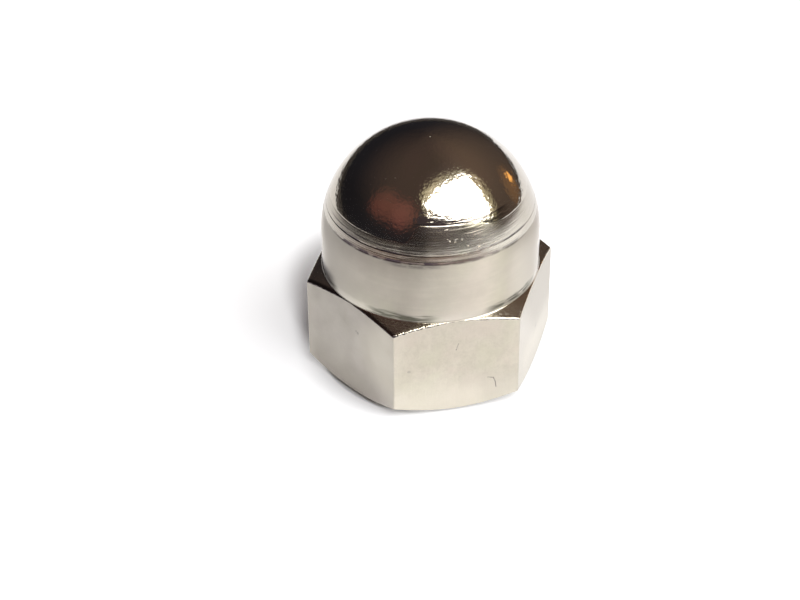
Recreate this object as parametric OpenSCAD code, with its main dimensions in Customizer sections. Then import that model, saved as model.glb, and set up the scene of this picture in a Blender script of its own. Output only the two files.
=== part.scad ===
// Cap nut: a closed hexagon nut with a domed end, turned in one piece from hexagon bar.
// Millimetres. The open end stands on z = 0, centred on the origin, and the dome points up +Z.
// Two of the hexagon's corners lie on the X axis, so that one flat faces -Y.

/* [Hexagon] */
// Width across the flats
across_flats = 13; // [10:0.1:20]
// Height of the hexagon, from the open end to the foot of the neck
hex_height = 6.5; // [4:0.1:12]
// Radius along the six corners of the bar
bar_corner_r = 0.12; // [0.05:0.01:0.5]
// Slope of the chamfer that falls from the neck to the corners, in degrees
top_chamfer_angle = 24; // [15:1:35]
// Slope of the chamfer around the open end, in degrees
bottom_chamfer_angle = 30; // [15:1:45]
// How far the rim of the bearing face lies inside the flats
bearing_inset = 0.25; // [0.05:0.05:1]

/* [Neck and dome] */
// How far the wall of the neck lies inside the flats
neck_inset = 0.05; // [0.05:0.05:1.5]
// Straight height of the neck, between the hexagon and the dome
neck_height = 2.25; // [0.5:0.05:8]
// Radius of the fillet at the foot of the neck
neck_fillet_r = 0.2; // [0.05:0.05:0.5]

/* [Threaded hole] */
// Diameter of the bore: the tapping size of an M8 x 1.25 thread
bore_d = 6.8; // [4:0.1:9]
// Width of the 45 degree lead-in around the mouth
mouth_chamfer = 0.8; // [0.2:0.1:1.2]
// Full angle of the drill's point at the end of the hole, in degrees
drill_point_angle = 118; // [90:1:140]
// Metal left between the tip of the hole and the top of the dome
crown_wall = 2.2; // [1:0.1:5]

/* [Hidden] */

// Facets of the preview; the round surfaces themselves are true
$fn = 96;
corners = 6;
corner_step = 360 / corners;
// Reach of a cutting tool past the metal that it cuts
past = 1;
// Overlap of a round with the flats that it runs into
weld = 0.0001;

flat_r = across_flats / 2;
corner_r = flat_r / cos(corner_step / 2);
bearing_r = flat_r - bearing_inset;
dome_r = flat_r - neck_inset;
dome_centre_z = hex_height + neck_height;
total_height = dome_centre_z + dome_r;
bore_r = bore_d / 2;
bore_end_z = total_height - crown_wall - bore_r / tan(drill_point_angle / 2);

function along(angle) = [cos(angle), sin(angle)];

// Hexagon bar: each corner is cut back to where its rounding starts, and a circle fills it out
module bar_section() {
    cut_back = bar_corner_r / tan(corner_step);
    polygon([
        for (k = [0 : corners - 1], side = [-1, 1])
            corner_r * along(k * corner_step)
            + cut_back * along(k * corner_step + side * 2 * corner_step)
    ]);
    for (k = [0 : corners - 1])
        translate((corner_r - bar_corner_r / sin(corner_step)) * along(k * corner_step))
            circle(r = bar_corner_r + weld);
}

// Half section as turned, up to the foot of the dome; both chamfers run out past the corners
module hexagon_and_neck_profile() {
    rim_r = corner_r + past;
    polygon([
        [0, 0],
        [bearing_r, 0],
        [rim_r, (rim_r - bearing_r) * tan(bottom_chamfer_angle)],
        [rim_r, hex_height - (rim_r - dome_r) * tan(top_chamfer_angle)],
        [dome_r, hex_height],
        [dome_r, dome_centre_z],
        [0, dome_centre_z]
    ]);
}

// Half section of the dome, a half ball on the neck
module dome_profile() {
    translate([0, dome_centre_z])
        intersection() {
            circle(r = dome_r);
            square(dome_r + past);
        }
}

// Half section of the fillet that joins the neck to the top chamfer, rooted inside the metal of both
module fillet_profile() {
    to_chamfer = [-sin(top_chamfer_angle), -cos(top_chamfer_angle)];
    centre = [
        dome_r + neck_fillet_r,
        hex_height + neck_fillet_r * (1 / cos(top_chamfer_angle) - tan(top_chamfer_angle))
    ];
    root = 2 * neck_fillet_r;
    difference() {
        polygon([
            [dome_r - neck_fillet_r, centre.y],
            [dome_r - neck_fillet_r, hex_height - neck_fillet_r],
            centre + root * to_chamfer,
            centre
        ]);
        translate(centre)
            circle(r = neck_fillet_r + weld);
    }
}

module turned_blank() {
    rotate_extrude() {
        hexagon_and_neck_profile();
        dome_profile();
        fillet_profile();
    }
}

// Blind hole: lead-in, straight bore and the cone that the drill's point leaves
module blind_hole() {
    mouth_r = bore_r + mouth_chamfer;
    rotate_extrude()
        polygon([
            [0, -past],
            [mouth_r + past, -past],
            [bore_r, mouth_chamfer],
            [bore_r, bore_end_z],
            [0, total_height - crown_wall]
        ]);
}

module cap_nut() {
    color([0.78, 0.75, 0.70])
        difference() {
            intersection() {
                linear_extrude(height = total_height + past)
                    bar_section();
                turned_blank();
            }
            blind_hole();
        }
}

cap_nut();
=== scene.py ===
"""Cap nut: the looks of a turned, nickel-plated M8 dome nut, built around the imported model.

Sizes are in millimetres until a mesh is made. The nut stands on z = 0 with its dome up, two corners
of the hexagon lie on the X axis, and one flat faces -Y. An azimuth is in degrees, anticlockwise
from +X. In the shaders a mask is 1 on some part of the nut and 0 elsewhere.
"""

import math

import bmesh
import bpy
import numpy as np
from mathutils import Matrix, Vector


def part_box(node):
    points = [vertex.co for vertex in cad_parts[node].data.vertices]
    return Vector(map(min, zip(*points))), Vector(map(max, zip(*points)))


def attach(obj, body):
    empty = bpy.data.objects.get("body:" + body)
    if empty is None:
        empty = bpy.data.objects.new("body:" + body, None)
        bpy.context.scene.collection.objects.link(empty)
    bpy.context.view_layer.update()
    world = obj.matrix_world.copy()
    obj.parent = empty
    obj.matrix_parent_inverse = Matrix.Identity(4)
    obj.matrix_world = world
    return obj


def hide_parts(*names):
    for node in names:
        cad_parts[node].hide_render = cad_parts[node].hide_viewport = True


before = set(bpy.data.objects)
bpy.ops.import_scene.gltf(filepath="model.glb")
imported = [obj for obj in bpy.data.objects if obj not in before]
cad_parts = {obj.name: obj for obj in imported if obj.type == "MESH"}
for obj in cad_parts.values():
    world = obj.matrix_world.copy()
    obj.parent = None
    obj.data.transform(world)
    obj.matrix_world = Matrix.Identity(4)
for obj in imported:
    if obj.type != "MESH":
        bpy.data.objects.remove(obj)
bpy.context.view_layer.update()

MM = 0.001
TAU = 2 * math.pi

# ---------------------------------------------------------------- sizes, in mm

_, high_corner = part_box("cap_nut")
CORNER_R, FLAT_R, TOTAL_HEIGHT = np.array(high_corner) / MM

CORNERS = 6
SECTOR = TAU / CORNERS
BAR_CORNER_R = 0.12
HEX_HEIGHT = 6.5
TOP_CHAMFER = math.radians(24)
BOTTOM_CHAMFER = math.radians(30)
BEARING_R = FLAT_R - 0.25
NECK_R = FLAT_R - 0.05
DOME_Z = TOTAL_HEIGHT - NECK_R

# Fillet at the neck's foot: its radius, the middle of its arc and how far it turns
FILLET_R = 0.12
FILLET_RHO = NECK_R + FILLET_R
FILLET_Z = HEX_HEIGHT + FILLET_R * (1 / math.cos(TOP_CHAMFER) - math.tan(TOP_CHAMFER))
FILLET_TURN = math.pi / 2 - TOP_CHAMFER

# Softening of the edges that the turning tool and the tumbling leave
TOP_EDGE = 0.12
BOTTOM_EDGE = 0.06
RIM_EDGE = 0.08
MOUTH_EDGE = 0.04

BORE_R = 3.4
MOUTH_R = BORE_R + 0.8
CROWN_WALL = 2.2
DRILL_POINT = math.radians(118)
DRILL_TIP_Z = TOTAL_HEIGHT - CROWN_WALL
BORE_END_Z = DRILL_TIP_Z - BORE_R / math.tan(DRILL_POINT / 2)

# M8 coarse thread, cut with a tap that leaves its taper at the end of the hole
THREAD_PITCH = 1.25
THREAD_ROOT_R = 4.0
THREAD_ROOT_HALF = THREAD_PITCH / 16
THREAD_FLANK = math.radians(30)
THREAD_EDGE = 0.018
FULL_THREAD_Z = 8.5
RUN_OUT = 2.3

# Rings that the tool left between the polished dome and the satin neck: height, depth, half width
TOOL_RINGS = (
    (11.43, 0.002, 0.05),
    (10.87, 0.014, 0.06),
    (10.41, 0.018, 0.07),
    (11.18, 0.001, 0.05),
    (10.64, 0.003, 0.05),
)
# A ring's low lip: where it ends, in half widths from the middle, and its height as a share of depth
LIP_END = 1.8
LIP_HEIGHT = 0.12
# Where the mirror polish ends, and where the satin neck starts
POLISHED_Z = 12.42
SATIN_Z = 10.35

# ---------------------------------------------------------------- the nut's mesh

# How finely the mesh is divided
CORNER_COLUMNS = 9
FLAT_COLUMNS = 26
DOME_ROWS = 60
RING_ROWS = 15
CHAMFER_ROWS = 16
DRILL_ROWS = 8
# The largest shares of the way from neck to edge that the rounded edge and the fillet take
EDGE_SHARE = 0.4
FILLET_SHARE = 0.4
# Points nearer to each other than this are joined, in metres
WELD_REACH = 2e-7


def column_angles():
    """Directions of the mesh columns: close together round each corner, even along the flats."""
    tangent = corner_tangent()
    near = tangent * np.linspace(-1, 1, CORNER_COLUMNS)
    gap = 1.6 * tangent
    along_flat = np.linspace(gap, SECTOR - gap, FLAT_COLUMNS)
    sector = np.concatenate([near, along_flat])
    return np.concatenate([sector + k * SECTOR for k in range(CORNERS)])


def corner_tangent():
    """Angle between a corner's direction and the point where its rounding meets the flat."""
    centre = (FLAT_R - BAR_CORNER_R) / math.cos(SECTOR / 2)
    return math.atan2(
        BAR_CORNER_R * math.sin(SECTOR / 2), centre + BAR_CORNER_R * math.cos(SECTOR / 2)
    )


def bar_radius(theta):
    """Distance from the axis to the rounded hexagon in each direction."""
    off = np.abs((theta + SECTOR / 2) % SECTOR - SECTOR / 2)
    centre = (FLAT_R - BAR_CORNER_R) / math.cos(SECTOR / 2)
    reach = BAR_CORNER_R**2 - (centre * np.sin(off)) ** 2
    rounding = centre * np.cos(off) + np.sqrt(np.maximum(reach, 0))
    return np.where(off < corner_tangent(), rounding, FLAT_R / np.cos(SECTOR / 2 - off))


def bend(start, corner, end, steps):
    """Points of a smooth bend from start to end that would meet at corner, ends included."""
    t = np.linspace(0, 1, steps)[:, None, None]
    return (1 - t) ** 2 * start + 2 * t * (1 - t) * corner + t**2 * end


def straight(start, end, steps):
    """Evenly spaced points between start and end, without the two ends."""
    t = np.linspace(0, 1, steps + 2)[1:-1, None, None]
    return (1 - t) * start + t * end


def ring_wear(theta, which):
    """How deep a tool ring is round the nut, from shallow to full."""
    waves = np.sin(theta * 2 + which * 1.7) + 0.6 * np.sin(theta * 5 + which * 2.9)
    return 0.7 + 0.3 * waves / 1.6


def ring_section(u):
    """Share of a ring's depth at u half widths from its middle: a groove with a lip beside it."""
    if u < 1:
        return 0.5 + 0.5 * math.cos(math.pi * u)
    if u < LIP_END:
        return -LIP_HEIGHT * math.sin(math.pi * (u - 1) / (LIP_END - 1))
    return 0.0


def dome_rows(theta):
    """Rows from near the top of the dome to the top of the straight neck."""
    rings = [(math.acos((z - DOME_Z) / NECK_R), d, w / NECK_R) for z, d, w in TOOL_RINGS]
    even = math.pi / 2 / DOME_ROWS * (np.arange(DOME_ROWS) + 0.5)
    across_ring = np.linspace(-LIP_END, LIP_END, RING_ROWS)
    tight = np.concatenate([middle + half * across_ring for middle, _, half in rings])
    polar = np.unique(np.round(np.concatenate([even, tight, [math.pi / 2]]), 4))
    polar = polar[polar <= math.pi / 2]
    rows = []
    for angle in polar:
        sink = np.zeros_like(theta)
        for k, (middle, depth, half) in enumerate(rings):
            sink += depth * ring_wear(theta, k) * ring_section(abs(angle - middle) / half)
        r = NECK_R - sink
        rows.append(np.stack([r * math.sin(angle), DOME_Z + r * math.cos(angle)], axis=-1))
    return np.array(rows)


def down_chamfer(way):
    """Points some way down the neck's fillet and then the chamfer, measured along the surface."""
    turn = np.minimum(way / FILLET_R, FILLET_TURN)
    past = np.maximum(way - FILLET_R * FILLET_TURN, 0)
    rho = FILLET_RHO - FILLET_R * np.cos(turn) + past * math.cos(TOP_CHAMFER)
    z = FILLET_Z - FILLET_R * np.sin(turn) - past * math.sin(TOP_CHAMFER)
    return np.stack([rho, z], axis=-1)


def chamfer_path(theta):
    """Rows down the neck's fillet and the chamfer; the hexagon's edge; the start of the side."""
    edge = bar_radius(theta)
    turn_at_edge = np.arccos(np.clip((FILLET_RHO - edge) / FILLET_R, -1, 1))
    arc = FILLET_R * np.minimum(turn_at_edge, FILLET_TURN)
    line_start = FILLET_RHO - FILLET_R * math.sin(TOP_CHAMFER)
    line = np.maximum(edge - line_start, 0) / math.cos(TOP_CHAMFER)
    total = arc + line
    rounding = np.minimum(TOP_EDGE, EDGE_SHARE * total)
    usable = total - rounding
    first = np.minimum(arc, FILLET_SHARE * usable)
    rows = []
    for t in np.linspace(0, 1, CHAMFER_ROWS):
        if t < FILLET_SHARE:
            way = first * t / FILLET_SHARE
        else:
            way = first + (usable - first) * (t - FILLET_SHARE) / (1 - FILLET_SHARE)
        rows.append(down_chamfer(way))
    top_edge = down_chamfer(total)
    return np.array(rows), top_edge, top_edge - rounding[:, None] * np.array([0, 1])


def ring_at(rho, z, theta):
    """One level row at the same distance from the axis all round."""
    return np.stack([np.full_like(theta, rho), np.full_like(theta, z)], axis=-1)


def outer_rows(theta):
    """All rows outside, from near the top of the dome to the mouth of the hole."""
    dome = dome_rows(theta)
    chamfer, top_edge, side_top = chamfer_path(theta)
    return np.concatenate([
        dome,
        straight(dome[-1], chamfer[0], steps=12),
        chamfer[:-1],
        bend(chamfer[-1], top_edge, side_top, steps=7),
        foot_rows(theta, side_top),
    ])


def foot_rows(theta, side_top):
    """Rows down the sides, in along the bottom chamfer and across the bearing face."""
    edge = bar_radius(theta)
    bottom_edge = np.stack([edge, (edge - BEARING_R) * math.tan(BOTTOM_CHAMFER)], axis=-1)
    side_foot = bottom_edge + np.array([0, BOTTOM_EDGE])
    down_cone = np.array([-math.cos(BOTTOM_CHAMFER), -math.sin(BOTTOM_CHAMFER)])
    cone_top = bottom_edge + BOTTOM_EDGE * down_cone
    rim = ring_at(BEARING_R, 0, theta)
    cone_foot = rim - RIM_EDGE * down_cone
    face_out = ring_at(BEARING_R - RIM_EDGE, 0, theta)
    face_in = ring_at(MOUTH_R + MOUTH_EDGE, 0, theta)
    mouth = ring_at(MOUTH_R, 0, theta)
    inside = ring_at(MOUTH_R - MOUTH_EDGE, MOUTH_EDGE, theta)
    return np.concatenate([
        straight(side_top, side_foot, steps=12),
        bend(side_foot, bottom_edge, cone_top, steps=6),
        straight(cone_top, cone_foot, steps=3),
        bend(cone_foot, rim, face_out, steps=5),
        straight(face_out, face_in, steps=5),
        bend(face_in, mouth, inside, steps=4),
    ])


def thread_stations():
    """Heights within one pitch, from a groove's middle, where the thread's rows lie."""
    root = THREAD_ROOT_HALF
    crest = root + (THREAD_ROOT_R - BORE_R) * math.tan(THREAD_FLANK)
    half = [
        root - THREAD_EDGE,
        root + THREAD_EDGE,
        root + (crest - root) / 2,
        crest - THREAD_EDGE,
        crest + THREAD_EDGE,
    ]
    return np.array([-h for h in reversed(half)] + [0] + half + [THREAD_PITCH / 2])


def thread_radius(z, theta):
    """Wall of the hole: lead-in cone, thread with its run-out, or plain bore."""
    turn = (z - THREAD_PITCH * theta / TAU) / THREAD_PITCH
    off = np.abs(turn - np.round(turn)) * THREAD_PITCH
    groove = THREAD_ROOT_R - np.maximum(off - THREAD_ROOT_HALF, 0) / math.tan(THREAD_FLANK)
    past_bore = 0.02
    fall = THREAD_ROOT_R - BORE_R + past_bore
    taper = THREAD_ROOT_R - fall * (z - FULL_THREAD_Z) / RUN_OUT
    return np.maximum(np.maximum(MOUTH_R - z, BORE_R), np.minimum(groove, taper))


def bore_rows(theta):
    """Rows of the threaded hole, which climb with the helix, and the rows in one pitch."""
    stations = thread_stations()
    pitches = math.ceil(BORE_END_Z / THREAD_PITCH) + 3
    row_z = np.concatenate([stations + (k - 2) * THREAD_PITCH for k in range(pitches)])
    z = row_z[:, None] + THREAD_PITCH * theta[None, :] / TAU
    z = np.clip(z, MOUTH_EDGE, BORE_END_Z)
    rho = thread_radius(z, theta[None, :])
    return np.stack([rho, z], axis=-1), len(stations)


def drill_rows(theta):
    """Rows of the cone that the drill's point left, short of its tip."""
    t = np.arange(DRILL_ROWS) / DRILL_ROWS
    rho = np.multiply.outer(BORE_R * (1 - t), np.ones_like(theta))
    z = BORE_END_Z + (BORE_R - rho) / math.tan(DRILL_POINT / 2)
    return np.stack([rho, z], axis=-1)


def grid_faces(first, rows, columns, shift=0):
    """Quads between rows of a closed band; past the last column a row joins the one shift up."""
    faces = []
    for i in range(rows - 1):
        for j in range(columns):
            last = j == columns - 1
            k = (j + 1) % columns
            lower = i + (shift if last else 0)
            if lower + 1 >= rows:
                continue
            faces.append((
                first + i * columns + j,
                first + lower * columns + k,
                first + (lower + 1) * columns + k,
                first + (i + 1) * columns + j,
            ))
    return faces


def to_points(rows, theta):
    """Rows of (distance from the axis, height) as points in metres."""
    rho, z = rows[..., 0], rows[..., 1]
    points = np.stack([rho * np.cos(theta), rho * np.sin(theta), z], axis=-1)
    return points.reshape(-1, 3) * MM


def fan(tip, first, columns):
    """Triangles from a tip to a row."""
    return [(tip, first + j, first + (j + 1) % columns) for j in range(columns)]


def nut_mesh():
    """The whole nut as one closed surface."""
    theta = column_angles()
    columns = len(theta)
    outer = outer_rows(theta)
    bore, rows_per_pitch = bore_rows(theta)
    drill = drill_rows(theta)
    points = np.concatenate([
        to_points(outer, theta),
        to_points(bore, theta),
        to_points(drill, theta),
        np.array([[0, 0, TOTAL_HEIGHT], [0, 0, DRILL_TIP_Z]]) * MM,
    ])
    bore_first = len(outer) * columns
    drill_first = bore_first + len(bore) * columns
    top, tip = len(points) - 2, len(points) - 1
    faces = grid_faces(0, len(outer), columns)
    faces += grid_faces(bore_first, len(bore), columns, rows_per_pitch)
    faces += grid_faces(drill_first, len(drill), columns)
    faces += fan(top, 0, columns)
    faces += fan(tip, drill_first + (len(drill) - 1) * columns, columns)
    mesh = bpy.data.meshes.new("nut")
    mesh.from_pydata(points.tolist(), [], faces)
    weld(mesh)
    mesh.shade_smooth()
    return mesh


def weld(mesh):
    """Joins the bands where they meet and turns every face outward."""
    bm = bmesh.new()
    bm.from_mesh(mesh)
    bmesh.ops.remove_doubles(bm, verts=bm.verts, dist=WELD_REACH)
    bmesh.ops.recalc_face_normals(bm, faces=bm.faces)
    bm.to_mesh(mesh)
    bm.free()


# ---------------------------------------------------------------- shaders

GLOW_WHITE = (0.99, 0.992, 1.0, 1)


class Nodes:
    """Short ways to add and join the nodes of one shader."""

    def __init__(self, tree):
        self.tree = tree
        tree.nodes.clear()

    def add(self, kind, **settings):
        node = self.tree.nodes.new(kind)
        for key, value in settings.items():
            setattr(node, key, value)
        return node

    def feed(self, socket, value):
        """Joins another node's output to a socket, or sets the socket's own value."""
        if isinstance(value, bpy.types.NodeSocket):
            self.tree.links.new(value, socket)
        else:
            socket.default_value = value

    def math(self, operation, a, b=0.0, clamp=False):
        node = self.add("ShaderNodeMath", operation=operation, use_clamp=clamp)
        self.feed(node.inputs[0], a)
        self.feed(node.inputs[1], b)
        return node.outputs[0]

    def chain(self, operation, values):
        """One operation over two or more values in turn."""
        total = values[0]
        for value in values[1:]:
            total = self.math(operation, total, value)
        return total

    def times(self, *values):
        return self.chain("MULTIPLY", values)

    def plus(self, *values):
        return self.chain("ADD", values)

    def less(self, *values):
        return self.chain("SUBTRACT", values)

    def most(self, *values):
        return self.chain("MAXIMUM", values)

    def outside(self, mask):
        """The mask turned round."""
        return self.less(1.0, mask)

    def vector(self, operation, a, b=(0, 0, 0)):
        """A vector operation: a product, distance or length is a number, the others are vectors."""
        node = self.add("ShaderNodeVectorMath", operation=operation)
        self.feed(node.inputs[0], a)
        self.feed(node.inputs[1], b)
        gives_number = operation in ("DOT_PRODUCT", "DISTANCE", "LENGTH")
        return node.outputs["Value" if gives_number else "Vector"]

    def ramp(self, value, low, high, to_low=0.0, to_high=1.0, smooth=True):
        """Goes from to_low to to_high while the value goes from low to high, and stays there."""
        kind = "SMOOTHSTEP" if smooth else "LINEAR"
        node = self.add("ShaderNodeMapRange", interpolation_type=kind)
        self.feed(node.inputs["Value"], value)
        self.feed(node.inputs["From Min"], low)
        self.feed(node.inputs["From Max"], high)
        self.feed(node.inputs["To Min"], to_low)
        self.feed(node.inputs["To Max"], to_high)
        return node.outputs["Result"]

    def scaled(self, vector, scale):
        node = self.add("ShaderNodeMapping")
        self.feed(node.inputs["Vector"], vector)
        self.feed(node.inputs["Scale"], scale)
        return node.outputs["Vector"]

    def noise(self, vector, scale, detail, roughness):
        node = self.add("ShaderNodeTexNoise")
        self.feed(node.inputs["Vector"], vector)
        self.feed(node.inputs["Scale"], scale)
        self.feed(node.inputs["Detail"], detail)
        self.feed(node.inputs["Roughness"], roughness)
        return node.outputs["Fac"]

    def mix_colour(self, share, a, b, blend="MIX"):
        node = self.add("ShaderNodeMix", data_type="RGBA", blend_type=blend)
        self.feed(node.inputs["Factor"], share)
        self.feed(node.inputs["A"], a)
        self.feed(node.inputs["B"], b)
        return node.outputs["Result"]

    def bump(self, height, distance):
        node = self.add("ShaderNodeBump")
        self.feed(node.inputs["Strength"], 1.0)
        self.feed(node.inputs["Distance"], distance)
        self.feed(node.inputs["Height"], height)
        return node.outputs["Normal"]


def level(azimuth):
    """Level unit vector toward an azimuth."""
    a = math.radians(azimuth)
    return math.cos(a), math.sin(a), 0


class Skin(Nodes):
    """One material: where a point lies in mm, masks made from that, and the colour so far."""

    def __init__(self, material, colour):
        super().__init__(material.node_tree)
        self.colour = colour
        point = self.add("ShaderNodeTexCoord").outputs["Object"]
        self.place = self.scaled(point, (1 / MM, 1 / MM, 1 / MM))
        split = self.add("ShaderNodeSeparateXYZ")
        self.feed(split.inputs[0], self.place)
        self.height = split.outputs["Z"]

    def cover(self, share, colour):
        """Mixes a share of another colour over the colour so far."""
        self.colour = self.mix_colour(share, self.colour, colour)

    def cloud(self, scale, detail, roughness=0.5):
        """Noise that is even in all directions, with scale lumps to the mm."""
        return self.noise(self.place, scale, detail, roughness)

    def streaks(self, scales, detail, roughness=0.5):
        """Noise with its own scale along each axis."""
        return self.noise(self.scaled(self.place, scales), 1.0, detail, roughness)

    def on_arc(self, azimuth, half, soft):
        """1 where the surface faces within half of an azimuth, fading over soft; all in degrees."""
        facing = self.vector("NORMALIZE", self.vector("MULTIPLY", self.place, (1, 1, 0)))
        along = self.vector("DOT_PRODUCT", facing, level(azimuth))
        outer = math.radians(half + soft)
        inner = math.radians(max(half - soft, 0))
        return self.ramp(along, math.cos(outer), math.cos(inner))

    def from_axis(self):
        """Distance from the nut's axis, in mm."""
        return self.vector("LENGTH", self.vector("MULTIPLY", self.place, (1, 1, 0)))

    def out_toward(self, azimuth):
        """How far out a point lies toward an azimuth, in mm from the axis."""
        return self.vector("DOT_PRODUCT", self.place, level(azimuth))

    def away_from(self, point, stretch):
        """Distance in mm from a point, in a space that is stretched along the axes."""
        return self.vector("DISTANCE", self.scaled(self.place, stretch), point * Vector(stretch))

    def near_point(self, point, radius):
        """1 close to a point in mm, fading out at radius."""
        away = self.vector("DISTANCE", self.place, point)
        return self.ramp(away, radius, 0.4 * radius)

    def near_line(self, start, end, half_width):
        """1 close to a straight line between two points in mm."""
        start, end = Vector(start), Vector(end)
        along = end - start
        from_start = self.vector("SUBTRACT", self.place, start)
        share = self.vector("DOT_PRODUCT", from_start, along / along.length_squared)
        foot = self.vector("MULTIPLY", along, self.ramp(share, 0, 1, smooth=False))
        away = self.vector("DISTANCE", from_start, foot)
        return self.ramp(away, half_width, 0.3 * half_width)

    def over(self, heights, to_low=0.0, to_high=1.0):
        """Goes from to_low to to_high between two heights in mm, upward or downward."""
        return self.ramp(self.height, *heights, to_low, to_high)

    def near_height(self, middle, half):
        """1 close to a height, fading out at half away from it."""
        return self.near_level(self.height, middle, half)

    def near_level(self, height, middle, half):
        """1 where some other height is close to middle, fading out at half away from it."""
        off = self.math("ABSOLUTE", self.less(height, middle))
        return self.ramp(off, half, 0.3 * half)

    def glossier_edge_on(self, roughness, least, start):
        """Roughness that falls where the surface is seen edge on, as on real satin metal."""
        weight = self.add("ShaderNodeLayerWeight")
        self.feed(weight.inputs["Blend"], 0.5)
        share = self.ramp(weight.outputs["Facing"], start, start + 0.35)
        return self.less(roughness, self.times(self.less(roughness, least), share))

    def metal(self, roughness, relief, depth, grooved):
        """Bare metal; grooved spreads its reflections across lines that run round the axis."""
        shader = self.add("ShaderNodeBsdfPrincipled")
        self.feed(shader.inputs["Metallic"], 1.0)
        self.feed(shader.inputs["Anisotropic"], grooved)
        self.feed(shader.inputs["Anisotropic Rotation"], 0.25)
        self.feed(shader.inputs["Base Color"], self.colour)
        self.feed(shader.inputs["Roughness"], roughness)
        self.feed(shader.inputs["Normal"], self.bump(relief, depth))
        round_axis = self.add("ShaderNodeTangent", direction_type="RADIAL", axis="Z")
        self.feed(shader.inputs["Tangent"], round_axis.outputs["Tangent"])
        out = self.add("ShaderNodeOutputMaterial")
        self.feed(out.inputs["Surface"], shader.outputs["BSDF"])

    def matt(self, glow):
        """Matt surface, with plain light of its own that only the camera and reflections see."""
        diffuse = self.add("ShaderNodeBsdfDiffuse")
        self.feed(diffuse.inputs["Color"], self.colour)
        path = self.add("ShaderNodeLightPath").outputs
        seen = self.plus(path["Is Camera Ray"], path["Is Glossy Ray"])
        seen = self.math("ADD", seen, path["Is Transmission Ray"], clamp=True)
        emission = self.add("ShaderNodeEmission")
        self.feed(emission.inputs["Color"], GLOW_WHITE)
        self.feed(emission.inputs["Strength"], self.times(seen, glow))
        both = self.add("ShaderNodeAddShader")
        self.feed(both.inputs[0], diffuse.outputs[0])
        self.feed(both.inputs[1], emission.outputs[0])
        out = self.add("ShaderNodeOutputMaterial")
        self.feed(out.inputs["Surface"], both.outputs[0])


def new_material(name):
    material = bpy.data.materials.new(name)
    material.use_nodes = True
    return material


# ---------------------------------------------------------------- the nut's finishes

NICKEL = (0.70, 0.655, 0.565, 1)
NICKEL_DULL = (0.64, 0.60, 0.52, 1)
# Dimmer nickel for random dull patches, and also for painted shade on the neck, the far sides and the
# flats
NICKEL_DIM = (0.46, 0.42, 0.355, 1)
# Brighter nickel, used for painted highlights
NICKEL_HIGHLIGHT = (0.80, 0.76, 0.67, 1)
# Cooler nickel, used for a painted reflection colour on the sides
NICKEL_COOL_REFLECTION = (0.65, 0.617, 0.57, 1)
WARM_TINT = (0.72, 0.645, 0.58, 1)
GREEN_TINT = (0.66, 0.645, 0.52, 1)
BAND_DIM = (0.47, 0.405, 0.31, 1)
# Dark colour for painted shade at the neck's foot
FOOT_SHADE = (0.17, 0.165, 0.13, 1)
# Dark tarnish for scratches, spots, stains and the tool rings, also used for painted shade
TARNISH_AND_SHADE = (0.065, 0.048, 0.058, 1)
# Brown and olive for painted reflections in the band
BROWN_REFLECTION = (0.22, 0.14, 0.105, 1)
OLIVE_REFLECTION = (0.20, 0.19, 0.12, 1)

# How strongly each finish is grooved, and the depth of its bumps in metres
TURNED_GRAIN = 0.8
FLAT_GRAIN = 0.70
TURNED_DEPTH = 16e-6
FLAT_DEPTH = 9e-6
CHAMFER_DEPTH = 13e-6
BORE_DEPTH = 3e-6

# The flats that the camera sees, and all of them
FRONT, LEFT, RIGHT = -90, -150, -30
FLATS = range(30, 390, 60)

# Parts of the way round dome and neck: azimuth, half width and softness of the ends, in degrees
LOW_POLISH_RIGHT = (-40, 28, 16)
LOW_POLISH_LEFT = (-168, 54, 4)
STEP_UNDER_POLISH = (-98, 13, 5)
SCUFFED_POLISH = (-96, 16, 7)
# Arcs of painted shade and of a painted olive reflection under the polish
DARK_UNDER_POLISH = (-70, 18, 5)
OLIVE_UNDER_POLISH = (-70, 18, 6)
SMOOTH_BAND_RIGHT = (-30, 30, 20)
SMOOTH_BAND_LEFT = (-172, 34, 16)
FLECKED_BAND = (-80, 12, 8)
# Arc where the band's dull streaks are left out, painting it lighter
LIT_BAND = (-50, 42, 14)
BRIGHT_BAND = (-58, 12, 8)
BROWN_BAND = (-132, 62, 25)
# Arc where the painted shade on the neck is lighter
LIT_NECK = (-30, 24, 14)
BRIGHT_NECK = (-34, 18, 12)
CAMERA_SIDE = (-95, 55, 25)
FAR_RIGHT = (-8, 30, 18)
FAR_LEFT = (-190, 35, 22)
# Arcs of painted shade at the neck's foot, and above the left corner
FOOT_SHADE_ARCS = ((-119, 15, 7), (-54, 15, 8), (-173, 10, 5))
CORNER_SHADE = (-181, 14, 7)

# Heights in mm between which an effect on the turned part grows
UNDER_SCUFF_TOP = (13.0, 12.7)
UNDER_OLIVE_TOP = (12.45, 12.35)
ABOVE_OLIVE_FOOT = (11.8, 12.1)
UNDER_FLECKS_TOP = (12.3, 12.1)
ABOVE_FLECKS_FOOT = (10.7, 11.0)
UNDER_BROWN_TOP = (11.0, 10.75)
UNDER_BRIGHT_NECK_TOP = (10.4, 9.6)
UP_THE_NECK = (6.8, 8.2)
DOWN_THE_FOOT = (7.15, 6.65)
DOWN_THE_DOME = (14.0, 12.5)
UP_THE_BAND = (10.0, 11.5)
UP_THE_FAR_RIGHT = (9.0, 10.8)

# Level marks on the turned part: the height of the middle and how far they reach from it, in mm
POLISH_STEP = (POLISHED_Z, 0.06)
BRIGHT_LEVEL = (11.0, 0.8)
# Heights of the painted shade at the neck's foot and above the left corner
FOOT_SHADE_LEVEL = (6.90, 0.32)
CORNER_SHADE_LEVEL = (6.75, 0.95)

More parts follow.
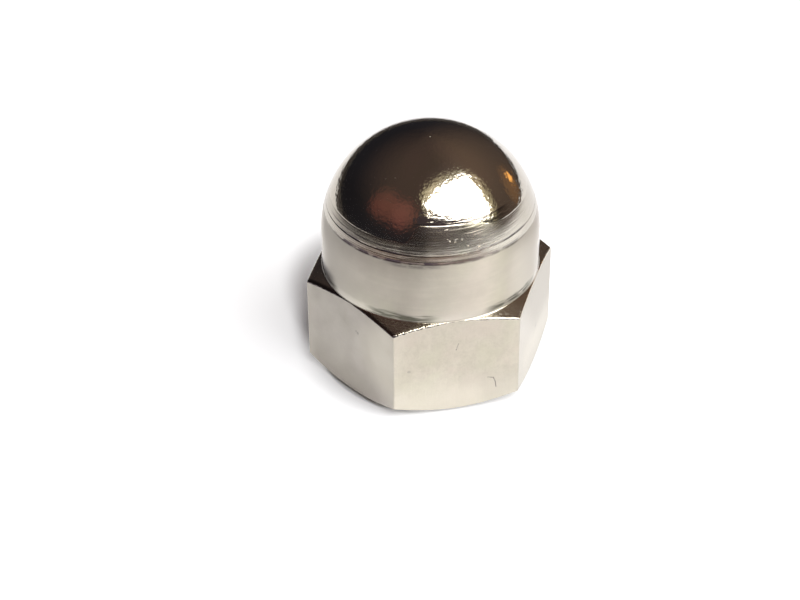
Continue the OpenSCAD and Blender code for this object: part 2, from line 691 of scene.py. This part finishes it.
# Dark lines in the band: height, half width, and the arcs that they cover with their strength
TARNISH_LINES = (
    (10.87, 0.09, (((-140, 24, 8), 1.0), ((-62, 18, 7), 0.8))),
    (10.42, 0.15, (((-130, 32, 8), 1.0), ((-108, 60, 10), 0.6))),
    (11.12, 0.06, (((-140, 30, 10), 0.7),)),
    (10.28, 0.22, (((-112, 10, 9), 0.5),)),
)

# Heights in mm between which an effect on the flats and chamfers grows
UP_THE_FLATS = (1.5, 5.5)
DOWN_THE_FRONT = (3.5, 0.5)
DOWN_THE_LEFT = (3.2, 0.8)
DOWN_THE_RIGHT = (3.6, 1.5)
TOP_CHAMFER_ONLY = (4.0, 5.0)

# Marks on the flats, as (facing azimuth, mm along the flat, mm up): the two ends of a scratch, or
# the middle of a spot and its radius, or of a stain, its radius and its strength
SCRATCHES = (
    ((FRONT, 0.10, 4.87), (FRONT, -0.03, 4.45)),
    ((FRONT, 1.90, 2.11), (FRONT, 2.24, 2.03)),
    ((FRONT, 2.24, 2.03), (FRONT, 2.36, 1.70)),
    ((FRONT, 2.36, 1.70), (FRONT, 2.41, 1.29)),
)
SCRATCH_HALF = 0.045
SPOTS = (
    ((FRONT, 3.65, 0.88), 0.13),
    ((FRONT, -2.83, 3.33), 0.14),
    ((LEFT, 0.65, 4.66), 0.20),
    ((RIGHT, 0.32, 2.70), 0.22),
    ((RIGHT, -0.92, 5.34), 0.20),
)
STAINS = (
    ((FRONT, 1.1, 2.5), 1.5, 0.05),
    ((FRONT, 3.2, 1.0), 2.4, 0.10),
)
# Middle and radius of a painted highlight on the left flat
BRIGHT_CORNER = ((LEFT, 3.7, 4.0), 3.6)

# Specks on the dome: azimuth and height
DOME_SPECKS = ((-108, 15.19), (-145, 13.95), (-137, 14.10), (-61, 13.97))
SPECK_R = 0.07


def on_flat(azimuth, side, z):
    """A point on the flat that faces an azimuth: mm along it, anticlockwise, and mm up."""
    x, y, _ = level(azimuth)
    return FLAT_R * x - side * y, FLAT_R * y + side * x, z


def on_dome(azimuth, z):
    """A point on the dome at an azimuth and a height."""
    x, y, _ = level(azimuth)
    rho = math.sqrt(NECK_R**2 - (z - DOME_Z) ** 2)
    return rho * x, rho * y, z


class TurnedSkin(Skin):
    """Dome and neck, with the noise and the masks that their relief, gloss and colour share."""

    def __init__(self, material):
        super().__init__(material, NICKEL)
        self.wobble = self.streaks((0.45, 0.45, 0.3), 3.0)
        self.coarse = self.streaks((0.35, 0.35, 4.5), 2.0, 0.6)
        self.fine = self.streaks((1.1, 1.1, 8), 1.0)
        self.furrows = self.plus(self.coarse, self.times(self.fine, 0.45))
        self.mottle = self.cloud(0.8, 4.0, 0.6)
        polish_end = self.less(
            POLISHED_Z,
            self.times(self.on_arc(*LOW_POLISH_RIGHT), 0.47),
            self.times(self.on_arc(*LOW_POLISH_LEFT), 0.91),
        )
        self.unpolished = self.ramp(self.less(polish_end, self.height), 0.0, 0.07)
        self.satin = self.over((SATIN_Z + 0.1, SATIN_Z - 0.1))


def turned_nickel():
    """Dome and neck: mirror-polished above, satin below, with fine rings from the lathe, and painted
    shade, highlights and reflections.
    """
    material = new_material("turned_nickel")
    skin = TurnedSkin(material)
    tint_turned(skin)
    dull_and_shade_band(skin)
    dull_and_shade_neck(skin)
    paint_right_highlight(skin)
    paint_far_side_shade(skin)
    paint_foot_shade(skin)
    skin.cover(tarnish_lines(skin), TARNISH_AND_SHADE)
    skin.metal(turned_roughness(skin), turned_relief(skin), TURNED_DEPTH, TURNED_GRAIN)
    return material


def turned_relief(skin):
    """Ripples and a scuff in the polish, furrows in the band, next to nothing on the satin neck."""
    smooth_band = skin.most(skin.on_arc(*SMOOTH_BAND_RIGHT), skin.on_arc(*SMOOTH_BAND_LEFT))
    furrowed = skin.times(
        skin.unpolished,
        skin.ramp(skin.satin, 0, 1, 1.0, 0.05),
        skin.ramp(smooth_band, 0, 1, 1.0, 0.32),
    )
    scuffed = skin.times(skin.on_arc(*SCUFFED_POLISH), skin.over(UNDER_SCUFF_TOP))
    furrowed = skin.most(furrowed, skin.times(scuffed, skin.ramp(skin.fine, 0.35, 0.6, 0.05, 0.4)))
    ripples = skin.plus(skin.streaks((2.4, 2.4, 3.6), 1.0), skin.times(skin.cloud(5.5, 1.0), 0.8))
    relief = skin.plus(
        skin.times(skin.furrows, skin.ramp(furrowed, 0, 1, 0.06, 1.0)),
        skin.times(ripples, skin.ramp(skin.unpolished, 0, 1, 0.6, 0.05)),
    )
    step = skin.times(skin.near_height(*POLISH_STEP), skin.on_arc(*STEP_UNDER_POLISH))
    return skin.less(relief, skin.times(step, 0.4), skin.times(band_flecks(skin), 1.2))


def band_flecks(skin):
    """Small pits in the band that catch the window's light."""
    pits = skin.ramp(skin.streaks((3.2, 3.2, 5.0), 2.0), 0.66, 0.73)
    in_band = skin.times(skin.over(UNDER_FLECKS_TOP), skin.over(ABOVE_FLECKS_FOOT))
    return skin.times(pits, skin.on_arc(*FLECKED_BAND), in_band)


def turned_roughness(skin):
    """Mirror polish above, duller down the band and the neck, brighter again at the foot."""
    down_band = skin.over((POLISHED_Z, SATIN_Z))
    foot = skin.over(DOWN_THE_FOOT)
    specks = skin.most(*(skin.near_point(on_dome(*speck), SPECK_R) for speck in DOME_SPECKS))
    roughness = skin.plus(
        skin.ramp(skin.unpolished, 0, 1, 0.066, 0.145),
        skin.times(down_band, 0.09),
        skin.times(skin.satin, 0.22),
        skin.times(skin.mottle, 0.04),
    )
    roughness = skin.less(roughness, skin.times(foot, 0.16))
    roughness = skin.plus(roughness, skin.times(specks, 0.5))
    return skin.glossier_edge_on(roughness, 0.12, 0.68)


def tint_turned(skin):
    """Plating that is duller in the furrows, and here warmer, there greener."""
    dull = skin.plus(skin.times(skin.coarse, skin.unpolished), skin.times(skin.mottle, 0.6))
    skin.cover(skin.ramp(dull, 0.45, 0.95), NICKEL_DULL)
    tint_plating(skin, skin.streaks((0.5, 0.5, 0.35), 3.0), 0.5)


def tint_plating(skin, tint, most_green):
    """Warmer plating where the tint is high and greener where it is low."""
    skin.cover(skin.ramp(tint, 0.48, 0.66, 0, 0.5), WARM_TINT)
    skin.cover(skin.ramp(tint, 0.50, 0.34, 0, most_green), GREEN_TINT)


def dull_and_shade_band(skin):
    """Dull streaks in the band, fewer on its right so that it is painted lighter there; painted brown
    and olive reflections low down and under the polish; painted shade along the polish's lower edge.
    """
    above_satin = skin.outside(skin.satin)
    # Dull streaks, mostly left out on the right so that the band is painted lighter there
    band = skin.times(skin.unpolished, above_satin, skin.ramp(skin.on_arc(*LIT_BAND), 0, 1, 1.0, 0.1))
    skin.cover(skin.times(band, skin.ramp(skin.furrows, 0.5, 0.9, 0.15, 0.75)), BAND_DIM)
    # A painted brown reflection low in the band on the left
    low = skin.times(skin.over(UNDER_BROWN_TOP), above_satin, skin.on_arc(*BROWN_BAND))
    skin.cover(skin.times(low, skin.ramp(skin.coarse, 0.35, 0.65, 0.45, 0.86)), BROWN_REFLECTION)
    # A painted olive reflection just under the polish
    under_polish = skin.times(skin.over(UNDER_OLIVE_TOP), skin.over(ABOVE_OLIVE_FOOT))
    olive = skin.times(under_polish, skin.on_arc(*OLIVE_UNDER_POLISH))
    skin.cover(skin.times(olive, skin.ramp(skin.fine, 0.35, 0.6, 0.1, 0.7)), OLIVE_REFLECTION)
    # Painted shade along the lower edge of the polish
    dark_edge = skin.times(skin.near_height(*POLISH_STEP), skin.on_arc(*DARK_UNDER_POLISH))
    skin.cover(skin.times(dark_edge, 0.75), TARNISH_AND_SHADE)


def dull_and_shade_neck(skin):
    """The satin neck, duller than the dome, with painted shade that is lighter on its right and towards
    its foot.
    """
    dim = skin.times(
        skin.satin,
        skin.ramp(skin.mottle, 0.3, 0.7, 0.37, 0.51),
        skin.ramp(skin.on_arc(*LIT_NECK), 0, 1, 1.0, 0.35),
        skin.over(UP_THE_NECK, 0.4, 1.0),
    )
    skin.cover(dim, NICKEL_DIM)


def paint_right_highlight(skin):
    """Painted highlights on the right, in the band and on the neck below it."""
    band = skin.times(skin.on_arc(*BRIGHT_BAND), skin.near_height(*BRIGHT_LEVEL))
    neck = skin.times(skin.on_arc(*BRIGHT_NECK), skin.over(UNDER_BRIGHT_NECK_TOP, 0.0, 0.65))
    skin.cover(skin.most(skin.times(band, 0.8), neck), NICKEL_HIGHLIGHT)


def paint_far_side_shade(skin):
    """A cooler painted reflection colour away from the camera's side, and painted shade on the far left
    and right.
    """
    skin.cover(skin.outside(skin.on_arc(*CAMERA_SIDE)), NICKEL_COOL_REFLECTION)
    right = skin.times(skin.on_arc(*FAR_RIGHT), skin.over(UP_THE_FAR_RIGHT, 0.0, 0.6))
    sides = skin.most(skin.on_arc(*FAR_LEFT), right)
    below_dome = skin.over(DOWN_THE_DOME, 0.0, 0.55)
    above_neck = skin.over(UP_THE_BAND, 0.0, 0.34)
    skin.cover(skin.times(sides, skin.plus(below_dome, above_neck)), NICKEL_DIM)


def paint_foot_shade(skin):
    """Painted shade in broken streaks in the corner at the neck's foot, and on the neck's foot above
    the left corner.
    """
    wavy_height = skin.plus(skin.height, skin.times(skin.wobble, 0.3))
    arcs = skin.most(*(skin.on_arc(*arc) for arc in FOOT_SHADE_ARCS))
    foot_shade_streaks = skin.times(skin.near_level(wavy_height, *FOOT_SHADE_LEVEL), arcs)
    skin.cover(skin.times(foot_shade_streaks, skin.ramp(skin.fine, 0.3, 0.6, 0.2, 1.0)), FOOT_SHADE)
    corner = skin.times(skin.near_height(*CORNER_SHADE_LEVEL), skin.on_arc(*CORNER_SHADE))
    skin.cover(skin.times(corner, 0.7), TARNISH_AND_SHADE)


def tarnish_lines(skin):
    """Mask of dark, broken lines that lie in the tool rings between the dome and the neck."""
    wavy_height = skin.less(skin.plus(skin.height, skin.times(skin.wobble, 0.06)), 0.03)
    lines = []
    for middle, half, arcs in TARNISH_LINES:
        reach = skin.most(*(skin.times(skin.on_arc(*arc), strength) for arc, strength in arcs))
        lines.append(skin.times(skin.near_level(wavy_height, middle, half), reach))
    broken = skin.ramp(skin.streaks((1.3, 1.3, 5), 4.0, 0.65), 0.38, 0.54)
    return skin.times(skin.most(*lines), skin.ramp(broken, 0, 1, 0.35, 0.95))


def flat_nickel():
    """Sides of the hexagon: drawn bar under the plating, faintly mottled and marked, with painted shade
    and highlights.
    """
    material = new_material("flat_nickel")
    skin = Skin(material, NICKEL)
    mottle = skin.cloud(0.9, 4.0, 0.6)
    scratches = scratch_mask(skin)
    skin.cover(skin.ramp(mottle, 0.35, 0.7, 0, 0.35), NICKEL_DULL)
    skin.cover(skin.ramp(skin.cloud(3.0, 3.0), 0.4, 0.7, 0, 0.18), NICKEL_DIM)
    skin.cover(skin.ramp(skin.cloud(9.0, 1.0), 0.4, 0.7, 0, 0.15), NICKEL_DIM)
    tint_plating(skin, skin.cloud(0.55, 3.0), 0.4)
    paint_flat_shade_and_highlights(skin)
    mark_flats(skin)
    skin.cover(skin.times(scratches, 0.6), TARNISH_AND_SHADE)
    roughness = skin.ramp(mottle, 0.3, 0.7, 0.54, 0.62, smooth=False)
    roughness = skin.glossier_edge_on(roughness, 0.26, 0.50)
    skin.metal(roughness, flat_relief(skin, scratches), FLAT_DEPTH, FLAT_GRAIN)
    return material


def scratch_mask(skin):
    """Mask of the short scratches, fainter here and there."""
    lines = [skin.near_line(on_flat(*start), on_flat(*end), SCRATCH_HALF) for start, end in SCRATCHES]
    return skin.times(skin.most(*lines), skin.ramp(skin.cloud(5.0, 2.0), 0.35, 0.6, 0.3, 1.0))


def flat_relief(skin, scratches):
    """Upright grain of the drawn bar, shallow dents, pits and the scratches."""
    grain = skin.streaks((6, 6, 0.6), 3.0)
    dents = skin.cloud(1.1, 3.0)
    pits = skin.cloud(6.0, 3.0, 0.6)
    relief = skin.plus(skin.times(grain, 0.5), skin.times(dents, 0.5), skin.times(pits, 0.7))
    return skin.less(relief, scratches)


def paint_flat_shade_and_highlights(skin):
    """Painted shade and highlights on the flats: darker towards the top, a cooler painted reflection
    colour off the front flat, darker on the right flat and low on the left, and painted highlights low
    on the front and right flats, near the corners and at one place on the left flat.
    """
    front, left, right = (skin.on_arc(azimuth, 30, 1) for azimuth in (FRONT, LEFT, RIGHT))
    skin.cover(skin.over(UP_THE_FLATS, 0.0, 0.18), NICKEL_DIM)
    skin.cover(skin.times(skin.outside(front), 0.7), NICKEL_COOL_REFLECTION)
    skin.cover(skin.times(right, 0.45), NICKEL_DIM)
    along_left = skin.out_toward(LEFT + 90)
    low_left = skin.times(left, skin.over(DOWN_THE_LEFT, 0.0, 0.3), skin.ramp(along_left, 3.4, 0.8))
    skin.cover(low_left, NICKEL_DIM)
    along_right = skin.out_toward(RIGHT + 90)
    up_and_along = skin.plus(skin.height, skin.times(along_right, 1.2))
    far_right = skin.times(right, skin.ramp(up_and_along, 1.2, 4.0))
    skin.cover(skin.times(far_right, 0.9), NICKEL_DIM)
    skin.cover(skin.times(right, skin.ramp(along_right, 1.0, 3.5), 0.4), NICKEL_DIM)
    near_corners = skin.ramp(skin.from_axis(), CORNER_R - 0.45, CORNER_R - 0.05)
    bright_corner, bright_radius = BRIGHT_CORNER
    painted_highlight = skin.most(
        skin.times(front, skin.over(DOWN_THE_FRONT, 0.0, 0.8)),
        skin.times(right, skin.over(DOWN_THE_RIGHT, 0.0, 0.4)),
        skin.times(near_corners, skin.ramp(right, 0, 1, 0.25, 0.0)),
        skin.times(left, skin.near_point(on_flat(*bright_corner), bright_radius)),
    )
    skin.cover(painted_highlight, NICKEL_HIGHLIGHT)


def mark_flats(skin):
    """Faint stains and small dark spots."""
    for place, radius, strength in STAINS:
        skin.cover(skin.times(skin.near_point(on_flat(*place), radius), strength), TARNISH_AND_SHADE)
    spots = skin.most(*(skin.near_point(on_flat(*place), radius) for place, radius in SPOTS))
    spots = skin.times(spots, skin.ramp(skin.cloud(7.0, 2.0), 0.4, 0.6, 0.1, 1.0))
    skin.cover(skin.times(spots, 0.35), TARNISH_AND_SHADE)


def chamfer_nickel():
    """Turned chamfers and bearing face: bright, with fine rings, a nicked rim and painted shade along
    the left flat's top edge.
    """
    material = new_material("chamfer_nickel")
    skin = Skin(material, NICKEL)
    mottle = skin.cloud(1.2, 3.0, 0.5)
    skin.cover(mottle, NICKEL_DULL)
    # Painted shade on the rounded top edge of the left flat
    left_edge_shade = skin.ramp(skin.out_toward(LEFT), FLAT_R - 2.5 * TOP_EDGE, FLAT_R - TOP_EDGE)
    left_edge_shade = skin.times(left_edge_shade, skin.over(TOP_CHAMFER_ONLY))
    skin.cover(skin.times(left_edge_shade, 0.85), TARNISH_AND_SHADE)
    ring_place = skin.add("ShaderNodeCombineXYZ")
    skin.feed(ring_place.inputs[0], skin.times(skin.from_axis(), 9.0))
    skin.feed(ring_place.inputs[1], skin.times(skin.height, 9.0))
    rings = skin.noise(ring_place.outputs[0], 1.0, 3.0, 0.5)
    reach = skin.most(*(skin.out_toward(azimuth) for azimuth in FLATS))
    rim = skin.ramp(reach, FLAT_R - 0.25, FLAT_R - 0.08, 1.0, 3.2)
    relief = skin.plus(skin.times(rings, 0.6), skin.times(skin.cloud(4.5, 2.0, 0.6), rim))
    roughness = skin.ramp(mottle, 0.3, 0.7, 0.13, 0.18, smooth=False)
    skin.metal(roughness, relief, CHAMFER_DEPTH, TURNED_GRAIN)
    return material


def bore_nickel():
    """Thread and the bottom of the hole: plated thinly, duller."""
    material = new_material("bore_nickel")
    skin = Skin(material, NICKEL_DULL)
    mottle = skin.cloud(2.0, 4.0, 0.6)
    skin.cover(mottle, NICKEL_DIM)
    roughness = skin.ramp(mottle, 0.3, 0.7, 0.28, 0.42, smooth=False)
    skin.metal(roughness, skin.cloud(14.0, 2.0), BORE_DEPTH, TURNED_GRAIN)
    return material


# Order of the finishes in the nut's mesh
TURNED, FLAT, CHAMFER, BORE = range(4)


def finish_of(face):
    """Which of the nut's four finishes a face has, from where it lies and how it faces."""
    centre = face.center / MM
    rho = math.hypot(centre.x, centre.y)
    outward = face.normal.x * centre.x + face.normal.y * centre.y
    if rho < MOUTH_R and outward <= 0 and centre.z < DRILL_TIP_Z + 0.1:
        return BORE
    on_fillet = rho < FLAT_R - 0.01 and centre.z > HEX_HEIGHT / 2
    if centre.z > HEX_HEIGHT or on_fillet:
        return TURNED
    upright = abs(face.normal.z) < 0.2
    return FLAT if upright else CHAMFER


def build_nut():
    """The nut with its finishes, and shading that runs clean into the softened edges."""
    mesh = nut_mesh()
    for material in (turned_nickel(), flat_nickel(), chamfer_nickel(), bore_nickel()):
        mesh.materials.append(material)
    for face in mesh.polygons:
        face.material_index = finish_of(face)
    nut = bpy.data.objects.new("nut", mesh)
    bpy.context.scene.collection.objects.link(nut)
    weighted = nut.modifiers.new("weighted", "WEIGHTED_NORMAL")
    weighted.mode = "FACE_AREA"
    weighted.weight = 60
    return nut


# ---------------------------------------------------------------- camera, stage and light

CAMERA_AZIMUTH = math.radians(-102.62)
CAMERA_ELEVATION = math.radians(36.342)
CAMERA_DISTANCE = 126.67
CAMERA_ROLL = math.radians(-0.4538)
CAMERA_LENS = 95.46
AIM_Z = 0.9 * NECK_R
AIM_RIGHT = -1.805
AIM_UP = -1.958

# Outlines of what lies on the table, from the nut: mm to the camera's right and mm toward it
SHEET = ((-78, -66), (20, -66), (60, -140), (900, -140), (900, 900), (-78, 900))
TABLE = ((-3000, -3000), (3000, -3000), (3000, 3000), (-3000, 3000))
# A dark patch on the table near the camera, which the nut reflects
DARK_PATCH = ((-38, 68), (-6, 76), (-35, 880), (-400, 800))
# Their heights in mm, each apart from the others and just below the nut
SHEET_Z, TABLE_Z, DARK_PATCH_Z = -0.02, -0.3, -0.01
SHEET_WHITE = (0.785, 0.812, 0.875, 1)
TABLE_DIM = (0.07, 0.06, 0.055, 1)
DARK_PATCH_COLOUR = (0.03, 0.025, 0.03, 1)

# The window's direction as degrees from the camera's side and up, its size in metres at 1 m, how
# far it lies off that direction in its plane, and its brightness
WINDOW_AIM = (50, 50)
WINDOW_SIZE = (1.09, 0.93)
WINDOW_OFFSET = (-0.055, -0.035, 0)
WINDOW_COLOUR = (1.0, 0.99, 0.97)
WINDOW_RADIANCE = 4.5

# Cards just before the window, in its plane: one hides its near lower corner, as the
# photographer's hands would, and the other slopes its top edge and takes the point off its corner
CARD_DISTANCE = 0.95
FLAG = (
    (-1.15, 0.38), (-0.78, 0.33), (-0.30, -0.13), (0.12, -0.50),
    (0.50, -0.60), (0.50, -0.80), (-1.15, -0.55),
)
CORNER_CARD = ((0.52, 0.29), (0.52, 0.50), (-0.12, 0.50), (-0.12, 0.44), (0.38, 0.365))
FLAG_COLOUR = (0.055, 0.042, 0.048, 1)
CORNER_COLOUR = (0.30, 0.27, 0.18, 1)

# Soft panes of light in the room, as sides: a direction in the pane's plane and the reach along it
REVEAL = (
    (1, 0, 0.64), (-1, 0, 0.72), (0, 1, 0.64), (0, -1, 0.60), (0.45, 0.89, 0.55), (-0.83, 0.55, 0.77),
)
REVEAL_LIGHT = (0.58, 0.52, 0.34, 1)
CURTAIN = ((1, 0, 0.42), (-1, 0, 0.50), (0, 1, 0.12), (0, -1, 0.38), (-0.6, 0.8, 0.10))
CURTAIN_AIM = (-58, 48)
CURTAIN_LIGHT = (0.058, 0.012, 0.008, 1)

# Soft round patches of light in the room: middle, radius and colour
ROOM_PATCHES = (
    ((-38, 40), 18, (0.085, 0.030, 0.022, 1)),
    ((-72, 38), 20, (0.055, 0.018, 0.012, 1)),
    ((122, 22), 60, (0.090, 0.060, 0.039, 1)),
    ((121, 9), 16, (0.13, 0.060, 0.015, 1)),
    ((127, 10), 4, (2.0, 0.9, 0.18, 1)),
)
ROOM_LOW = (0.019, 0.018, 0.022, 1)
ROOM_OVERHEAD = (0.077, 0.053, 0.045, 1)


def toward(azimuth_from_camera, elevation):
    """Unit vector from the nut at an angle anticlockwise from the camera's side, in degrees."""
    a = CAMERA_AZIMUTH + math.radians(azimuth_from_camera)
    e = math.radians(elevation)
    return Vector((math.cos(a) * math.cos(e), math.sin(a) * math.cos(e), math.sin(e)))


def build_camera():
    """The photograph's camera, solved from the hexagon's corners and the dome's outline."""
    data = bpy.data.cameras.new("camera")
    data.lens = CAMERA_LENS
    data.sensor_width = 36
    data.clip_start = 0.005
    data.clip_end = 10
    camera = bpy.data.objects.new("camera", data)
    bpy.context.scene.collection.objects.link(camera)
    back = toward(0, math.degrees(CAMERA_ELEVATION))
    upright = back.to_track_quat("Z", "Y").to_matrix()
    turn = upright @ Matrix.Rotation(CAMERA_ROLL, 3, "Z")
    aim = Vector((0, 0, AIM_Z)) + turn @ Vector((AIM_RIGHT, AIM_UP, 0))
    place = Matrix.Translation((aim + back * CAMERA_DISTANCE) * MM)
    camera.matrix_world = place @ turn.to_4x4()
    bpy.context.scene.camera = camera


def stage_polygon(name, points, material):
    """One flat polygon of the stage."""
    mesh = bpy.data.meshes.new(name)
    mesh.from_pydata(points, [], [tuple(range(len(points)))])
    mesh.materials.append(material)
    polygon = bpy.data.objects.new(name, mesh)
    bpy.context.scene.collection.objects.link(polygon)


def lay_sheet(name, outline, z, material):
    """A level sheet at a height in mm."""
    right, forth, up = toward(90, 0), toward(0, 0), Vector((0, 0, z))
    points = [(right * across + forth * nearer + up) * MM for across, nearer in outline]
    stage_polygon(name, points, material)


def build_floor():
    """White sheet on a dim table, and a dark patch near the camera for the nut to reflect."""
    lay_sheet("sheet", SHEET, SHEET_Z, sheet_white())
    lay_sheet("table", TABLE, TABLE_Z, plain_matt("table_dim", TABLE_DIM, 0.02))
    lay_sheet("dark_patch", DARK_PATCH, DARK_PATCH_Z, plain_matt("dark_patch_matt", DARK_PATCH_COLOUR, 0.0))


def plain_matt(name, colour, glow):
    """A matt material with the same colour and glow all over."""
    material = new_material(name)
    Skin(material, colour).matt(glow)
    return material


def sheet_white():
    """White paper: its shading carries the nut's cast shadow, and its glow makes the rest white; where
    the glow is lowered near the nut, a painted shadow is added.
    """
    material = new_material("sheet_white")
    skin = Skin(material, SHEET_WHITE)
    skin.matt(sheet_glow_and_painted_shadow(skin))
    return material


def sheet_glow_and_painted_shadow(skin):
    """Strength of the sheet's own light: even further out, lowered in soft patches near the nut and
    along its foot, which paints part of its shadow and a dark line by its left flats.
    """
    # A soft patch of painted shadow behind the nut on the left
    from_shadow = skin.away_from(toward(-151, 0) * 1.04 * FLAT_R, (1, 0.72, 1))
    glow = skin.ramp(from_shadow, 0.66 * FLAT_R, 0.97 * FLAT_R, 0.12, 0.60)
    # A smaller patch of painted shadow by the nut's left corner
    from_corner = skin.away_from(toward(-104, 0) * 1.13 * FLAT_R, (1, 0.40, 1))
    by_corner = skin.ramp(from_corner, 0.02 * FLAT_R, 0.24 * FLAT_R, 0.15, 1.0)
    reach = skin.from_axis()
    # Painted shade close round the foot, and a painted dark line along the left flats
    by_foot = skin.ramp(reach, FLAT_R, 1.3 * FLAT_R, 0.45, 1.0)
    under_left = skin.times(skin.on_arc(-160, 42, 12), skin.ramp(reach, 1.055 * FLAT_R, 1.005 * FLAT_R))
    return skin.times(glow, by_corner, skin.times(by_foot, skin.outside(under_left)))


def window_plane():
    """The plane that the window lies in, 1 m from the nut, as a placement with Z away from it."""
    back = toward(*WINDOW_AIM)
    turn = back.to_track_quat("Z", "Y").to_matrix().to_4x4()
    return Matrix.Translation(back + Vector((0, 0, 0.01))) @ turn


def build_window():
    """The large soft light, to the right of the camera and half-way up."""
    data = bpy.data.lights.new("window", "AREA")
    data.shape = "RECTANGLE"
    data.size, data.size_y = WINDOW_SIZE
    data.energy = WINDOW_RADIANCE * math.pi * data.size * data.size_y
    data.color = WINDOW_COLOUR
    window = bpy.data.objects.new("window", data)
    bpy.context.scene.collection.objects.link(window)
    window.matrix_world = window_plane() @ Matrix.Translation(WINDOW_OFFSET)


def build_card(name, outline, colour):
    """A card that stands just before the window and glows with a plain colour of its own, which the nut
    shows as a painted reflection.
    """
    plane = window_plane()
    in_plane = [Vector((x, y, 1)) * CARD_DISTANCE - Vector((0, 0, 1)) for x, y in outline]
    material = new_material(name + "_card")
    nodes = Nodes(material.node_tree)
    emission = nodes.add("ShaderNodeEmission")
    nodes.feed(emission.inputs["Color"], colour)
    out = nodes.add("ShaderNodeOutputMaterial")
    nodes.feed(out.inputs["Surface"], emission.outputs[0])
    stage_polygon(name, [plane @ point for point in in_plane], material)


class Room(Nodes):
    """The dim room round the nut, dark near the horizon and warmer overhead, and its lights."""

    def __init__(self, tree):
        super().__init__(tree)
        self.direction = self.add("ShaderNodeTexCoord").outputs["Generated"]
        split = self.add("ShaderNodeSeparateXYZ")
        self.feed(split.inputs[0], self.direction)
        overhead = self.ramp(split.outputs["Z"], 0.2, 1.0)
        self.colour = self.mix_colour(overhead, ROOM_LOW, ROOM_OVERHEAD)

    def add_light(self, amount, light):
        """Adds some amount of a light to the room's colour."""
        self.colour = self.mix_colour(amount, self.colour, light, "ADD")

    def add_patch(self, middle, radius, light):
        """Adds a soft round patch of light, with its middle and radius in degrees."""
        along = self.vector("DOT_PRODUCT", self.direction, toward(*middle))
        self.add_light(self.ramp(along, math.cos(math.radians(radius)), 1.0), light)

    def add_pane(self, aim, sides, soft, light):
        """Adds a soft-edged pane of light that faces the nut, at a distance of 1."""
        turn = toward(*aim).to_track_quat("Z", "Y").to_matrix()
        right, up, ahead = (
            self.vector("DOT_PRODUCT", self.direction, turn.col[k]) for k in range(3)
        )
        amount = self.ramp(ahead, 0.05, 0.2)
        distance = self.math("MAXIMUM", ahead, 0.05)
        x, y = self.math("DIVIDE", right, distance), self.math("DIVIDE", up, distance)
        for side_x, side_y, reach in sides:
            out = self.plus(self.times(x, side_x), self.times(y, side_y))
            amount = self.times(amount, self.ramp(out, reach + soft / 2, reach - soft / 2))
        self.add_light(amount, light)


def build_room():
    """The room as the world: a red curtain, warm patches, a lamp and the window's reveal."""
    world = bpy.data.worlds.new("room")
    bpy.context.scene.world = world
    world.use_nodes = True
    room = Room(world.node_tree)
    room.add_pane(CURTAIN_AIM, CURTAIN, 0.34, CURTAIN_LIGHT)
    for middle, radius, light in ROOM_PATCHES:
        room.add_patch(middle, radius, light)
    room.add_pane(WINDOW_AIM, REVEAL, 0.30, REVEAL_LIGHT)
    background = room.add("ShaderNodeBackground")
    room.feed(background.inputs["Color"], room.colour)
    out = room.add("ShaderNodeOutputWorld")
    room.feed(out.inputs["Surface"], background.outputs[0])


# ---------------------------------------------------------------- the scene

build_camera()
nut = build_nut()
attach(nut, "root")
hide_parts("cap_nut")
build_floor()
build_window()
build_card("flag", FLAG, FLAG_COLOUR)
build_card("corner", CORNER_CARD, CORNER_COLOUR)
build_room()
bpy.context.scene.view_settings.view_transform = "Standard"
